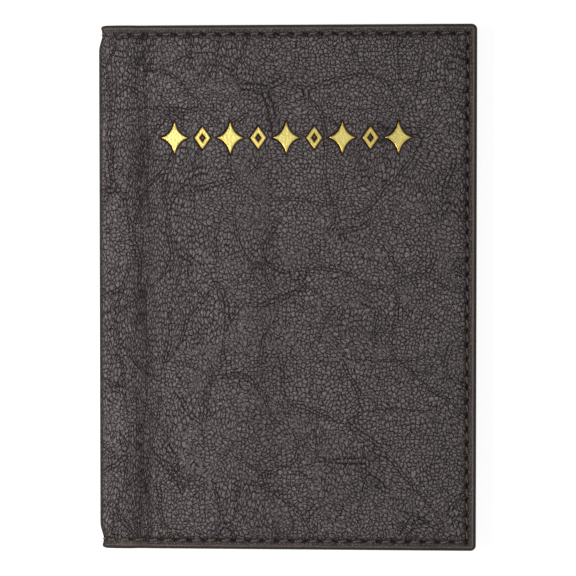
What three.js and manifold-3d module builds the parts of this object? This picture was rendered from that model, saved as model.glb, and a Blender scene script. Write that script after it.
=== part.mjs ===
// Passport holder: two stiffened leather covers joined by a soft spine, with an inner pocket on each
// cover for the covers of a passport. Units are millimetres, +Z is up.
// The holder lies closed on its back cover. X runs from the spine (-X) to the open edge (+X), Y runs
// up the front cover, and the origin is under the middle of the holder, on the surface it lies on.
// Each cover is a stack, from the outside in: outer leather, board, lining, pocket panel. Round the
// three open edges the board stops short, and leather, lining and pocket panel are sewn together.
import * as THREE from 'three';
import { mergeVertices } from 'three/addons/utils/BufferGeometryUtils.js';
import Module from 'manifold-3d';

const wasm = await Module();
wasm.setup();

// ---------------------------------------------------------------- driving dimensions
const WIDTH = 101;              // spine to open edge
const HEIGHT = 140;             // along the spine
const THICKNESS = 8;            // closed, over both covers
const CORNER_RADIUS = 1.5;      // the four corners of the open edge
const FOLD_RADIUS = 3;          // outside radius of the leather at the two folds of the spine

const LEATHER = 1.1;            // outer leather
const BOARD = 0.8;              // stiffening board
const LINING = 0.3;             // inner lining
const TAPE = 0.15;              // reinforcing tape inside the spine
const POCKET = 0.7;             // pocket panel
const POCKET_ROOM = 0.6;        // slot that a passport's cover slides into
const GLUE = 0.1;               // line of glue between two layers
const EDGE_PAINT = 0.2;         // coat over the cut edges

const SPINE_ZONE = 10;          // bare lining between the fold and the boards and pockets
const BOARD_INSET = 4.4;        // from the three open edges to the board
const POCKET_INSET = 3.7;       // from the three open edges to the inside of the pocket
const SEAM_INSET = 2.4;         // from the edge to the line of stitching
const HEM_INSET = 2.4;          // from a pocket's free edge to its line of stitching
const THREAD_WIDTH = 0.8;
const THREAD = 0.3;             // height of the thread
const GROOVE_WIDTH = 1.4;       // channel that a row of stitches is sunk in
const SUNK = 0.1;               // the thread lies this far below the leather's face
const FOLD_SLIT = 0.3;          // half of the opening between a cover and the spine at a fold

const FOIL = 0.1;               // thickness of the stamped foil
const STAMP_DEPTH = 0.3;        // how far the stamp presses the leather in
const STAMP_MARGIN = 0.35;      // pressed leather round each foil motif
const MOTIF_COUNT = 9;
const MOTIF_ROW_WIDTH = 66.8;   // over the whole row
const MOTIF_ROW_Y = 40;         // height of the row on the front cover
const STAR_HALF_WIDTH = 3.6;
const STAR_HALF_HEIGHT = 4.35;
const STAR_WAIST = 0.2;         // 0 pulls the star's sides in to its middle, 0.5 leaves a plain lozenge
const LOZENGE_HALF_WIDTH = 2.1;
const LOZENGE_HALF_HEIGHT = 3;
const LOZENGE_HOLE = 0.42;      // size of the lozenge's hole against its outside

// ---------------------------------------------------------------- worked out from them
const FOLD_X = -WIDTH / 2 + FOLD_RADIUS;              // centre line of both folds
const SLIT_ANGLE = Math.asin(FOLD_SLIT / FOLD_RADIUS);
const LIP_END = -Math.PI * 3 / 4;                     // a cover's leather ends half-way round the fold
const LAYERS_INSET = EDGE_PAINT + GLUE;               // the layers' cut edges, under the edge paint
const BOARD_LEFT = -WIDTH / 2 + SPINE_ZONE;
const BEYOND = WIDTH;                                 // further out than any piece reaches

// Depths below a cover's outer face.
const BOARD_FACE = LEATHER + GLUE;
const LINING_OVER_BOARD = BOARD_FACE + BOARD + GLUE;
const HEM_FACE = BOARD_FACE + LINING + GLUE;          // where the pocket panel lies on the lining
const POCKET_FACE = LINING_OVER_BOARD + LINING + POCKET_ROOM;
const POCKET_TOP = POCKET_FACE + POCKET;
const HEM_TOP = HEM_FACE + POCKET;
const TAPE_FACE = LEATHER + GLUE;
const SPINE_LINING_FACE = TAPE_FACE + TAPE + GLUE;
const SPINE_LINING_TOP = SPINE_LINING_FACE + LINING;

const ARC_STEPS = 3;            // each arc of a section is drawn in twice this many chords
const STAR_STEPS = 4;

// ---------------------------------------------------------------- materials
function material(color, roughness, metalness = 0) {
  return new THREE.MeshStandardMaterial({ color, roughness, metalness, flatShading: true });
}

const MATERIALS = {
  leather: material(0x4f4949, 0.55),
  pocketLeather: material(0x453d3a, 0.6),
  lining: material(0x3a322e, 0.9),
  board: material(0x9a9186, 0.9),
  tape: material(0x5a5048, 0.9),
  edgePaint: material(0x2e2826, 0.4),
  thread: material(0x2a1e19, 0.7),
  foil: material(0xefe38a, 0.3, 1),
};

// ---------------------------------------------------------------- solids
function toSolid(geometry) {
  const positions = geometry.clone();
  positions.deleteAttribute('normal');
  positions.deleteAttribute('uv');
  const merged = mergeVertices(positions);
  return new wasm.Manifold(new wasm.Mesh({
    numProp: 3,
    vertProperties: new Float32Array(merged.attributes.position.array),
    triVerts: new Uint32Array(merged.index.array),
  }));
}

function toGeometry(solid) {
  const { vertProperties, triVerts } = solid.getMesh();
  const geometry = new THREE.BufferGeometry();
  geometry.setAttribute('position', new THREE.BufferAttribute(new Float32Array(vertProperties), 3));
  geometry.setIndex(new THREE.BufferAttribute(new Uint32Array(triVerts), 1));
  geometry.computeVertexNormals();
  return geometry;
}

function toMesh(name, solid, look) {
  const mesh = new THREE.Mesh(toGeometry(solid), look);
  mesh.name = name;
  return mesh;
}

// A prism on an outline in X and Y, between two heights.
function prism(outline, low, high, curveSegments = ARC_STEPS) {
  const geometry = new THREE.ExtrudeGeometry(outline, {
    depth: high - low,
    bevelEnabled: false,
    curveSegments,
  });
  geometry.translate(0, 0, low);
  return toSolid(geometry);
}

// A bar along Y with a section in X and Z, between two places along Y.
function bar(section, low, high) {
  const geometry = new THREE.ExtrudeGeometry(section, {
    depth: high - low,
    bevelEnabled: false,
    curveSegments: ARC_STEPS,
  });
  geometry.rotateX(Math.PI / 2);
  geometry.translate(0, high, 0);
  return toSolid(geometry);
}

function block(left, right, front, back, low, high) {
  const geometry = new THREE.BoxGeometry(right - left, back - front, high - low);
  geometry.translate((left + right) / 2, (front + back) / 2, (low + high) / 2);
  return toSolid(geometry);
}

// The cover's outline, moved in from its three open edges; at the left it starts where it is told to.
function coverOutline(inset, left = -BEYOND) {
  const right = WIDTH / 2 - inset;
  const top = HEIGHT / 2 - inset;
  const radius = Math.max(CORNER_RADIUS - inset, CORNER_RADIUS / 4);
  const outline = new THREE.Shape();
  outline.moveTo(left, -top);
  outline.lineTo(right - radius, -top);
  outline.absarc(right - radius, radius - top, radius, -Math.PI / 2, 0, false);
  outline.absarc(right - radius, top - radius, radius, 0, Math.PI / 2, false);
  outline.lineTo(left, top);
  return outline;
}

// The band round the three open edges, between two distances from the edge.
function edgeBand(near, far, low = -BEYOND, high = BEYOND, left = -BEYOND) {
  return prism(coverOutline(near, left), low, high)
    .subtract(prism(coverOutline(far, left - 1), low - 1, high + 1));
}

// A layer of a cover between two depths: flat, then half-way round the fold.
function coverLayer(low, high) {
  const section = new THREE.Shape();
  const flat = -Math.PI / 2;
  const end = LIP_END + SLIT_ANGLE;
  section.moveTo(BEYOND, low);
  section.absarc(FOLD_X, FOLD_RADIUS, FOLD_RADIUS - low, flat, end, true);
  section.absarc(FOLD_X, FOLD_RADIUS, FOLD_RADIUS - high, end, flat, false);
  section.lineTo(BEYOND, high);
  return bar(section, -BEYOND, BEYOND);
}

// A layer of the spine between two depths, from one fold's middle round to the other's.
function spineLayer(low, high, front, back) {
  const section = new THREE.Shape();
  const start = LIP_END - SLIT_ANGLE;
  const side = -Math.PI;
  const upper = THICKNESS - FOLD_RADIUS;
  section.absarc(FOLD_X, FOLD_RADIUS, FOLD_RADIUS - low, start, side, true);
  section.absarc(FOLD_X, upper, FOLD_RADIUS - low, -side, -start, true);
  section.absarc(FOLD_X, upper, FOLD_RADIUS - high, -start, -side, false);
  section.absarc(FOLD_X, FOLD_RADIUS, FOLD_RADIUS - high, side, start, false);
  return bar(section, front, back);
}

// ---------------------------------------------------------------- a cover's pieces
const LAYERS_PLAN = prism(coverOutline(LAYERS_INSET), -BEYOND, BEYOND);
const SEAM_BAND = edgeBand(SEAM_INSET - THREAD_WIDTH / 2, SEAM_INSET + THREAD_WIDTH / 2);
const GROOVE_BAND = edgeBand(SEAM_INSET - GROOVE_WIDTH / 2, SEAM_INSET + GROOVE_WIDTH / 2);

function outerLeather() {
  const groove = coverLayer(-LEATHER, SUNK + THREAD + GLUE / 2).intersect(GROOVE_BAND);
  return coverLayer(0, LEATHER).intersect(LAYERS_PLAN).subtract(groove);
}

function board() {
  return prism(coverOutline(BOARD_INSET, BOARD_LEFT), BOARD_FACE, BOARD_FACE + BOARD);
}

// The lining lies on the leather round the edges and steps up over the board.
function lining() {
  const step = BOARD_INSET - GLUE - LINING;
  const over = prism(
    coverOutline(step, BOARD_LEFT - GLUE - LINING),
    BOARD_FACE,
    LINING_OVER_BOARD + LINING,
  );
  const room = prism(
    coverOutline(BOARD_INSET - GLUE, BOARD_LEFT - GLUE),
    BOARD_FACE - GLUE,
    LINING_OVER_BOARD,
  );
  return coverLayer(BOARD_FACE, BOARD_FACE + LINING)
    .intersect(LAYERS_PLAN)
    .add(over)
    .subtract(room);
}

// The pocket panel is sewn down round three edges and stands off the lining; its free edge faces
// the spine, so that a passport's cover slides in from there.
function pocketPanel() {
  const hem = prism(coverOutline(LAYERS_INSET, BOARD_LEFT), HEM_FACE, HEM_TOP);
  const raised = prism(
    coverOutline(POCKET_INSET - POCKET, BOARD_LEFT),
    HEM_FACE,
    POCKET_TOP,
  );
  const room = prism(
    coverOutline(POCKET_INSET, BOARD_LEFT - SPINE_ZONE),
    HEM_FACE - GLUE,
    POCKET_FACE,
  );
  const grooveLeft = BOARD_LEFT + HEM_INSET - GROOVE_WIDTH / 2;
  const groove = block(
    grooveLeft,
    grooveLeft + GROOVE_WIDTH,
    -BEYOND,
    BEYOND,
    POCKET_TOP - THREAD - GLUE,
    POCKET_TOP + GLUE,
  );
  return hem.add(raised).subtract(room).subtract(groove);
}

function pocketHemThread() {
  const left = BOARD_LEFT + HEM_INSET - THREAD_WIDTH / 2;
  const end = HEIGHT / 2 - POCKET_INSET - POCKET;
  return block(left, left + THREAD_WIDTH, -end, end, POCKET_TOP - THREAD, POCKET_TOP);
}

// Paint on the pocket panel's free edge.
function pocketEdgePaint() {
  const right = BOARD_LEFT - GLUE;
  const end = HEIGHT / 2 - POCKET_INSET;
  return block(right - EDGE_PAINT, right, -end, end, POCKET_FACE, POCKET_TOP);
}

// Paint on the cut edges of the sewn layers: leather and lining by the spine, then the pocket too.
function edgePaint() {
  const bySpine = coverLayer(0, BOARD_FACE + LINING).intersect(edgeBand(0, EDGE_PAINT));
  const byPocket = edgeBand(0, EDGE_PAINT, 0, HEM_TOP, BOARD_LEFT);
  return bySpine.add(byPocket);
}

function outerThread() {
  return coverLayer(SUNK, SUNK + THREAD).intersect(SEAM_BAND);
}

// The inside thread runs on the lining by the spine and steps up onto the pocket panel.
function innerThread() {
  const onLining = BOARD_FACE + LINING + GLUE;
  const onPocket = HEM_TOP + GLUE;
  const stepRight = BOARD_LEFT - GLUE - EDGE_PAINT;
  const stepLeft = stepRight - THREAD_WIDTH / 2;
  const bySpine = block(-BEYOND, stepRight, -BEYOND, BEYOND, 0, onLining + THREAD);
  const step = block(stepLeft, stepRight, -BEYOND, BEYOND, onLining, onPocket + THREAD);
  const byPocket = block(stepLeft, BEYOND, -BEYOND, BEYOND, onPocket, onPocket + THREAD);
  return coverLayer(onLining, onLining + THREAD)
    .intersect(bySpine)
    .add(step)
    .add(byPocket)
    .intersect(SEAM_BAND);
}

// A cover in its own place with its outer face down; the front cover is the same cover turned over.
function cover(side, leather) {
  const group = new THREE.Group();
  group.add(
    toMesh(`${side}_outer_leather`, leather, MATERIALS.leather),
    toMesh(`${side}_stiffening_board`, board(), MATERIALS.board),
    toMesh(`${side}_lining`, lining(), MATERIALS.lining),
    toMesh(`${side}_pocket_panel`, pocketPanel(), MATERIALS.pocketLeather),
    toMesh(`${side}_pocket_hem_thread`, pocketHemThread(), MATERIALS.thread),
    toMesh(`${side}_pocket_edge_paint`, pocketEdgePaint(), MATERIALS.edgePaint),
    toMesh(`${side}_edge_paint`, edgePaint(), MATERIALS.edgePaint),
    toMesh(`${side}_outer_seam_thread`, outerThread(), MATERIALS.thread),
    toMesh(`${side}_inner_seam_thread`, innerThread(), MATERIALS.thread),
  );
  return group;
}

// ---------------------------------------------------------------- the spine's pieces
function spine() {
  const group = new THREE.Group();
  const cutEnd = HEIGHT / 2 - LAYERS_INSET;
  const tapeEnd = HEIGHT / 2 - BOARD_INSET;
  const seamNear = HEIGHT / 2 - SEAM_INSET;
  const grooveDepth = SUNK + THREAD + GLUE / 2;
  const threadOnLining = SPINE_LINING_TOP + GLUE;
  let leather = spineLayer(0, LEATHER, -cutEnd, cutEnd);

  for (const [end, sign] of [['bottom', -1], ['top', 1]]) {
    const across = (middle, width, low, high) => {
      const centre = sign * middle;
      return spineLayer(low, high, centre - width / 2, centre + width / 2);
    };
    leather = leather.subtract(across(seamNear, GROOVE_WIDTH, -LEATHER, grooveDepth));
    const paint = across(HEIGHT / 2 - EDGE_PAINT / 2, EDGE_PAINT, 0, SPINE_LINING_TOP);
    const outside = across(seamNear, THREAD_WIDTH, SUNK, SUNK + THREAD);
    const inside = across(seamNear, THREAD_WIDTH, threadOnLining, threadOnLining + THREAD);
    group.add(
      toMesh(`spine_${end}_edge_paint`, paint, MATERIALS.edgePaint),
      toMesh(`spine_${end}_outer_thread`, outside, MATERIALS.thread),
      toMesh(`spine_${end}_inner_thread`, inside, MATERIALS.thread),
    );
  }

  const tape = spineLayer(TAPE_FACE, TAPE_FACE + TAPE, -tapeEnd, tapeEnd);
  const spineLining = spineLayer(SPINE_LINING_FACE, SPINE_LINING_TOP, -cutEnd, cutEnd);
  group.add(
    toMesh('spine_outer_leather', leather, MATERIALS.leather),
    toMesh('spine_reinforcing_tape', tape, MATERIALS.tape),
    toMesh('spine_lining', spineLining, MATERIALS.lining),
  );
  return group;
}

// ---------------------------------------------------------------- the row of foil motifs
// A four-pointed star whose sides curve in, grown by a margin on every side.
function starOutline(margin) {
  const width = STAR_HALF_WIDTH + margin;
  const height = STAR_HALF_HEIGHT + margin;
  const waistX = STAR_WAIST * STAR_HALF_WIDTH + margin;
  const waistY = STAR_WAIST * STAR_HALF_HEIGHT + margin;
  const star = new THREE.Shape();
  star.moveTo(width, 0);
  star.quadraticCurveTo(waistX, waistY, 0, height);
  star.quadraticCurveTo(-waistX, waistY, -width, 0);
  star.quadraticCurveTo(-waistX, -waistY, 0, -height);
  star.quadraticCurveTo(waistX, -waistY, width, 0);
  return star;
}

function lozengePath(PathClass, scale, margin) {
  const width = LOZENGE_HALF_WIDTH * scale + 2 * margin;
  const height = LOZENGE_HALF_HEIGHT * scale + 2 * margin;
  const path = new PathClass();
  path.moveTo(width, 0);
  path.lineTo(0, height);
  path.lineTo(-width, 0);
  path.lineTo(0, -height);
  path.closePath();
  return path;
}

function lozengeOutline(margin) {
  const lozenge = lozengePath(THREE.Shape, 1, margin);
  lozenge.holes.push(lozengePath(THREE.Path, LOZENGE_HOLE, -margin / 2));
  return lozenge;
}

const MOTIF_SPACING = (MOTIF_ROW_WIDTH - 2 * STAR_HALF_WIDTH) / (MOTIF_COUNT - 1);
const MOTIFS = Array.from({ length: MOTIF_COUNT }, (_, place) => {
  const isStar = place % 2 === 0;
  return {
    name: `foil_${isStar ? 'star' : 'lozenge'}_${Math.floor(place / 2) + 1}`,
    outline: isStar ? starOutline : lozengeOutline,
    x: (place - (MOTIF_COUNT - 1) / 2) * MOTIF_SPACING,
  };
});

// The cover is built outer face down, so its row lies at minus the height it has when turned over.
function stampedLeather() {
  return MOTIFS.reduce((leather, motif) => {
    const stamp = prism(motif.outline(STAMP_MARGIN), -STAMP_DEPTH, STAMP_DEPTH, STAR_STEPS);
    return leather.subtract(stamp.translate([motif.x, -MOTIF_ROW_Y, 0]));
  }, outerLeather());
}

function foilRow() {
  const low = STAMP_DEPTH - GLUE - FOIL;
  const group = new THREE.Group();
  for (const motif of MOTIFS) {
    const foil = prism(motif.outline(0), low, low + FOIL, STAR_STEPS);
    const mesh = toMesh(motif.name, foil, MATERIALS.foil);
    mesh.position.set(motif.x, -MOTIF_ROW_Y, 0);
    group.add(mesh);
  }
  return group;
}

// ---------------------------------------------------------------- the holder
const frontCover = new THREE.Group();
frontCover.add(cover('front', stampedLeather()), foilRow());
frontCover.rotation.x = Math.PI;
frontCover.position.z = THICKNESS;

const passportHolder = new THREE.Group();
passportHolder.add(cover('back', outerLeather()), spine(), frontCover);

export default passportHolder;
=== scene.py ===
"""The looks of a passport holder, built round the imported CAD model.

Every soft piece is drawn on the flat sheet that it is cut from. On that sheet u runs across, from
the middle of the spine to the open edge, v runs along the spine, and depth is the distance in from
the outer face. wrap() lays the sheet round the spine. The numbers here are in millimetres, and the
meshes are made in metres.
"""
import math
from functools import partial

import bmesh
import bpy
import numpy as np
from mathutils import Matrix, Vector


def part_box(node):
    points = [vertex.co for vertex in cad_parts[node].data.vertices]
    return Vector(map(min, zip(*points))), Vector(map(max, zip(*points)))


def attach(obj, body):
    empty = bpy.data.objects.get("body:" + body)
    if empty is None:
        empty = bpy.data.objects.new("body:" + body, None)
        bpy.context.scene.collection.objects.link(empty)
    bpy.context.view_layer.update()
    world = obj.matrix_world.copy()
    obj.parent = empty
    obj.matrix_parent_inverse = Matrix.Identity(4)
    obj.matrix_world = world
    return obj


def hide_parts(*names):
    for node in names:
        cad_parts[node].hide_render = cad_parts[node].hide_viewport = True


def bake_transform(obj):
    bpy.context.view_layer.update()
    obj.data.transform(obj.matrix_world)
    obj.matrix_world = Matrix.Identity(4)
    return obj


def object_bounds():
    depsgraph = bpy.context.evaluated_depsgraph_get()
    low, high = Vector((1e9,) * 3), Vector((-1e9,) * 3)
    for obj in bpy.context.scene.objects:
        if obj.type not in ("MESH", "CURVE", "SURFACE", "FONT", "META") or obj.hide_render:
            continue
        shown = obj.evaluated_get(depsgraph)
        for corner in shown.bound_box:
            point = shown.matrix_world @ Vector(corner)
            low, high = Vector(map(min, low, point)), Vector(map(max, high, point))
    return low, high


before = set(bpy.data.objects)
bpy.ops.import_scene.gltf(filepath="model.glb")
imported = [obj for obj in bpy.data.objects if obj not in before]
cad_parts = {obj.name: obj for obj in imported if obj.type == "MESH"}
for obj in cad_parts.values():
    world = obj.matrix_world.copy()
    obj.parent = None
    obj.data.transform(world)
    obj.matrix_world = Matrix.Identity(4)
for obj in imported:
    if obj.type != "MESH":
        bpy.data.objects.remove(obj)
CAD_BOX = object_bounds()

MM = 0.001
SIDES = ("back", "front")


def box_mm(node):
    """The lowest and highest corner of a CAD node, in millimetres."""
    return [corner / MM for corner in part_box(node)]


# ---- sizes, from the CAD model
HALF_WIDTH = CAD_BOX[1].x / MM
HALF_HEIGHT = CAD_BOX[1].y / MM
THICKNESS = CAD_BOX[1].z / MM
FOLD_RADIUS = 3.0
CORNER_RADIUS = 1.5
FOLD_U = FOLD_RADIUS - HALF_WIDTH
FOLD_LENGTH = FOLD_RADIUS * math.pi / 2
MIDDLE_U = FOLD_U - FOLD_LENGTH - (THICKNESS / 2 - FOLD_RADIUS)

BOARD_LOW, BOARD_HIGH = box_mm("back_stiffening_board")
POCKET_LOW, POCKET_HIGH = box_mm("back_pocket_panel")
LINING_LOW, LINING_HIGH = box_mm("back_lining")
LAYERS_INSET = HALF_WIDTH - POCKET_HIGH.x
BOARD_INSET = HALF_WIDTH - BOARD_HIGH.x
LEATHER = 1.1
LINING = 0.3
POCKET = 0.7
SPINE_LINING_DEPTH = 1.45
TAPE_DEPTH = 1.2
TAPE = 0.15
HEM_TOP = POCKET_LOW.z + POCKET
SEAM_INSET = HALF_WIDTH - box_mm("back_outer_seam_thread")[1].x + 0.4
POCKET_EDGE_U = BOARD_LOW.x
HEM_U = sum(c.x for c in box_mm("back_pocket_hem_thread")) / 2
HEM_LOW, HEM_HIGH = (c.y for c in box_mm("back_pocket_hem_thread"))
TAPE_HIGH = box_mm("spine_reinforcing_tape")[1]
TAPE_TURN = math.asin((FOLD_U - TAPE_HIGH.x) / (FOLD_RADIUS - TAPE_DEPTH - TAPE))
TAPE_END_U = FOLD_U - FOLD_RADIUS * TAPE_TURN
TAPE_REACH = TAPE_HIGH.y
FOIL_NAMES = sorted(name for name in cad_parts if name.startswith("foil_"))


# ---- small maths
def ramp(x, low, high):
    """0 below low, 1 above high and a smooth rise between them."""
    t = np.clip((x - low) / (high - low), 0, 1)
    return t * t * (3 - 2 * t)


def bell(x, middle, width):
    return np.exp(-(((x - middle) / width) ** 2))


def noise(u, v, size, seed):
    """Smooth random heights from -1 to 1, with bumps about size across."""
    rng = np.random.default_rng(seed)
    cells = 64
    heights = rng.uniform(-1, 1, (cells, cells))
    turn = rng.uniform(0, math.pi)
    x = (u * math.cos(turn) - v * math.sin(turn)) / size
    y = (u * math.sin(turn) + v * math.cos(turn)) / size
    i, j = np.floor(x).astype(int), np.floor(y).astype(int)
    a, b = ramp(x - i, 0, 1), ramp(y - j, 0, 1)

    def at(right, up):
        return heights[(i + right) % cells, (j + up) % cells]

    near = at(0, 0) * (1 - a) + at(1, 0) * a
    far = at(0, 1) * (1 - a) + at(1, 1) * a
    return near * (1 - b) + far * b


def layered_noise(u, v, size, seed, layers=3):
    total = sum(noise(u, v, size / 2**k, seed + k) / 2**k for k in range(layers))
    return total / (2 - 0.5 ** (layers - 1))


# ---- the flat sheet and its wrap
def edge_distance(u, v):
    """How far a point is from the nearest of the cover's three open edges."""
    return np.minimum(HALF_WIDTH - u, HALF_HEIGHT - np.abs(v))


def round_corners(u, v, undo=False):
    """Draws the square corners of the open edge in to arcs, or undoes that."""
    right, top = HALF_WIDTH - CORNER_RADIUS, HALF_HEIGHT - CORNER_RADIUS
    a, b = u - right, np.abs(v) - top
    inside = (a > 0) & (b > 0)
    on_square = np.where(inside, np.maximum(a, b), 1.0)
    on_arc = np.where(inside, np.hypot(a, b), 1.0)
    scale = on_arc / on_square if undo else on_square / on_arc
    return (
        np.where(inside, right + a * scale, u),
        np.where(inside, np.sign(v) * (top + b * scale), v),
    )


PINCH = 0.62
PINCH_OUTSIDE = 0.33
PINCH_REACH = 4.5


def wrap(u, v, depth, side):
    """The place in the frame, in millimetres, of points on a cover's flat sheet."""
    u, v, depth = (np.asarray(x, float) for x in np.broadcast_arrays(u, v, depth))
    u, v = round_corners(u, v)
    turn = np.clip((FOLD_U - u) / FOLD_RADIUS, 0, math.pi / 2)
    flat = np.maximum(u - FOLD_U, 0)
    straight = np.maximum(FOLD_U - FOLD_LENGTH - u, 0)
    radius = FOLD_RADIUS - depth
    x = FOLD_U + flat - radius * np.sin(turn)
    z = THICKNESS - FOLD_RADIUS + radius * np.cos(turn) - straight
    seam = HALF_HEIGHT - SEAM_INSET
    pull = ramp(np.abs(v), seam - PINCH_REACH, seam) * PINCH
    pull -= ramp(np.abs(v), seam, HALF_HEIGHT) * (PINCH - PINCH_OUTSIDE)
    x = x + pull * (1 - ramp(u, FOLD_U - 1, FOLD_U + 3))
    if side == "back":
        z = THICKNESS - z
    return np.stack([x, v, z], axis=-1)


# ---- the seam's holes
STITCHES_ACROSS = 26
STITCHES_DOWN = 36
SLIT_LENGTH = 2.0
SLIT_WIDTH = 0.62
SLIT_SLANT = math.radians(17)
STITCH_PITCH = 3.75
SEAM_U = HALF_WIDTH - SEAM_INSET
SEAM_V = HALF_HEIGHT - SEAM_INSET


def seam_holes():
    """Each hole as u, v and the seam's direction there, from the spine round to the spine again."""
    across = np.linspace(MIDDLE_U, SEAM_U, STITCHES_ACROSS + 1)
    down = np.linspace(SEAM_V, -SEAM_V, STITCHES_DOWN + 1)
    holes = [(u, SEAM_V, 0.0) for u in across]
    holes += [(SEAM_U, v, -math.pi / 2) for v in down[1:]]
    holes += [(u, -SEAM_V, math.pi) for u in across[-2::-1]]
    return holes


def worn_in(u):
    """The seam is fainter over the spine, where the leather is skived thin."""
    return 0.55 + 0.45 * ramp(u, -47, -38)


def slits(u, v):
    """The slanted slits that the thread goes down, and the wider dimples round them, 0 to 1."""
    cut, dimple = np.zeros_like(u), np.zeros_like(u)
    where = np.nonzero(np.abs(edge_distance(u, v) - SEAM_INSET) < 2.2)
    nu, nv = u[where], v[where]
    found_cut, found_dimple = np.zeros_like(nu), np.zeros_like(nu)
    rng = np.random.default_rng(5)
    for hu, hv, direction in seam_holes():
        turn, size = rng.normal(0, 0.06), 1 + rng.normal(0, 0.08)
        angle = direction - SLIT_SLANT + turn
        along = (nu - hu) * math.cos(angle) + (nv - hv) * math.sin(angle)
        across = (nv - hv) * math.cos(angle) - (nu - hu) * math.sin(angle)
        a, b = along / (size * SLIT_LENGTH / 2), across / (size * SLIT_WIDTH / 2)
        found_cut = np.maximum(found_cut, np.exp(-(a**4) - np.abs(b) ** 3) * worn_in(hu))
        reach = (along / 1.25) ** 2 + (across / 0.95) ** 2
        found_dimple = np.maximum(found_dimple, np.exp(-reach) * worn_in(hu))
    cut[where], dimple[where] = found_cut, found_dimple
    return cut, dimple


# ---- the row of foil motifs
STAR_WAIST = 0.2
LOZENGE_HOLE = 0.42
CURVE_STEPS = 12


def four_sided(half_width, half_height, side_points):
    """An outline through four tips; side_points gives the points from one tip to the next."""
    tips = np.array([(half_width, 0), (0, half_height), (-half_width, 0), (0, -half_height)])
    t = np.linspace(0, 1, CURVE_STEPS, endpoint=False)[:, None]
    return np.concatenate([side_points(t, tips[k], tips[(k + 1) % 4]) for k in range(4)])


def star_outline(half_width, half_height):
    """A star: each side is a curve drawn in towards the middle."""
    def curve(t, start, end):
        waist = (start + end) * STAR_WAIST
        return (1 - t) ** 2 * start + 2 * t * (1 - t) * waist + t**2 * end

    return four_sided(half_width, half_height, curve)


def lozenge_outline(half_width, half_height):
    return four_sided(half_width, half_height, lambda t, start, end: start * (1 - t) + end * t)


def motifs():
    """Each foil node's name, centre, outline and the share of the outline that its hole takes."""
    found = []
    for name in FOIL_NAMES:
        corner_low, corner_high = box_mm(name)
        centre = (corner_low + corner_high) / 2
        half = (corner_high - corner_low) / 2
        is_star = name.startswith("foil_star")
        outline = (star_outline if is_star else lozenge_outline)(half.x, half.y)
        found.append((name, (centre.x, centre.y), outline, 0.0 if is_star else LOZENGE_HOLE))
    return found


def outline_distance(x, y, outline):
    """The distance to a closed outline, below 0 inside it."""
    nearest = np.full(x.shape, np.inf)
    inside = np.zeros(x.shape, bool)
    for (ax, ay), (bx, by) in zip(outline, np.roll(outline, -1, axis=0)):
        ex, ey = bx - ax, by - ay
        t = np.clip(((x - ax) * ex + (y - ay) * ey) / (ex * ex + ey * ey), 0, 1)
        nearest = np.minimum(nearest, np.hypot(x - ax - t * ex, y - ay - t * ey))
        crosses = (ay > y) != (by > y)
        slope = ex / (ey if abs(ey) > 1e-12 else 1e-12)
        inside ^= crosses & (x < ax + (y - ay) * slope)
    return np.where(inside, -nearest, nearest)


MOTIFS = motifs()
MOTIF_REACH = 2.0
FAR = 99.0


def stamp_distance(u, v):
    """The distance to the nearest foil motif's outline, below 0 under the foil."""
    nearest = np.full(u.shape, FAR)
    for _, (cu, cv), outline, hole in MOTIFS:
        reach = np.abs(outline).max(axis=0) + MOTIF_REACH
        where = np.nonzero((np.abs(u - cu) < reach[0]) & (np.abs(v - cv) < reach[1]))
        x, y = u[where] - cu, v[where] - cv
        distance = outline_distance(x, y, outline)
        if hole:
            distance = np.maximum(distance, -outline_distance(x, y, outline * hole))
        nearest[where] = np.minimum(nearest[where], distance)
    return nearest


# ---- the shape of the outer face
REST = 0.03
UNDULATION = 0.1
MARGIN_SINK = 0.2
SEAM_SINK = 0.2
CREASE_INSET = 1.25
CREASE_WIDTH = 0.2
CREASE_DEPTH = 0.06
VALLEY_U = -38.4
VALLEY_WIDTH = 2.6
VALLEY_DEPTH = 0.3
RIM_WIDTH = 0.82
SLIT_DEPTH = 0.38
DIMPLE_DEPTH = 0.16
STAMP_DEPTH = 0.22


def stack_depth(u):
    """Depth of the innermost layer at the cut edge: lining by the spine, then the pocket panel."""
    lining = LINING_LOW.z + LINING
    by_spine = (SPINE_LINING_DEPTH + LINING - lining) * (1 - ramp(u, FOLD_U, FOLD_U + 3))
    over_pocket = (HEM_TOP - lining) * ramp(u, POCKET_EDGE_U - 1.5, POCKET_EDGE_U + 0.5)
    return lining + by_spine + over_pocket


def rim_depth(distance, u):
    """The rounded edge, as depth against the distance from the outline."""
    half = stack_depth(u) / 2
    inward = np.clip((RIM_WIDTH - distance) / RIM_WIDTH, 0, 1)
    return half * (1 - np.sqrt(1 - inward**2))


def off_spine(u):
    """0 at the middle of the spine, where the two halves meet, and 1 on the cover."""
    return ramp(u, MIDDLE_U + 0.3, FOLD_U + 2)


def valley_share(v):
    """The valley beside the spine is fainter near the top."""
    return 1 - 0.7 * ramp(v, 36, 56)


def soft_sink(u, v, side):
    """How far the outer face lies in from the flat, without holes and stamps."""
    seed = 11 if side == "front" else 61
    distance = edge_distance(u, v)
    sink = REST + UNDULATION * (1 + layered_noise(u, v, 26, seed) * off_spine(u))
    sink += MARGIN_SINK * (1 - ramp(distance, SEAM_INSET + 0.4, BOARD_INSET + 1.4))
    sink += SEAM_SINK * bell(distance, SEAM_INSET, 0.75) * worn_in(u)
    sink += CREASE_DEPTH * bell(distance, CREASE_INSET, CREASE_WIDTH)
    valley = VALLEY_DEPTH * (1 + 0.35 * noise(u * 0, v, 15, seed + 20)) * valley_share(v)
    valley_line = VALLEY_U + 0.5 * noise(u * 0, v, 22, seed + 21)
    return sink + valley * bell(u, valley_line, VALLEY_WIDTH)


WRINKLES = ((9, 0.012), (5, 0.008))


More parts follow.
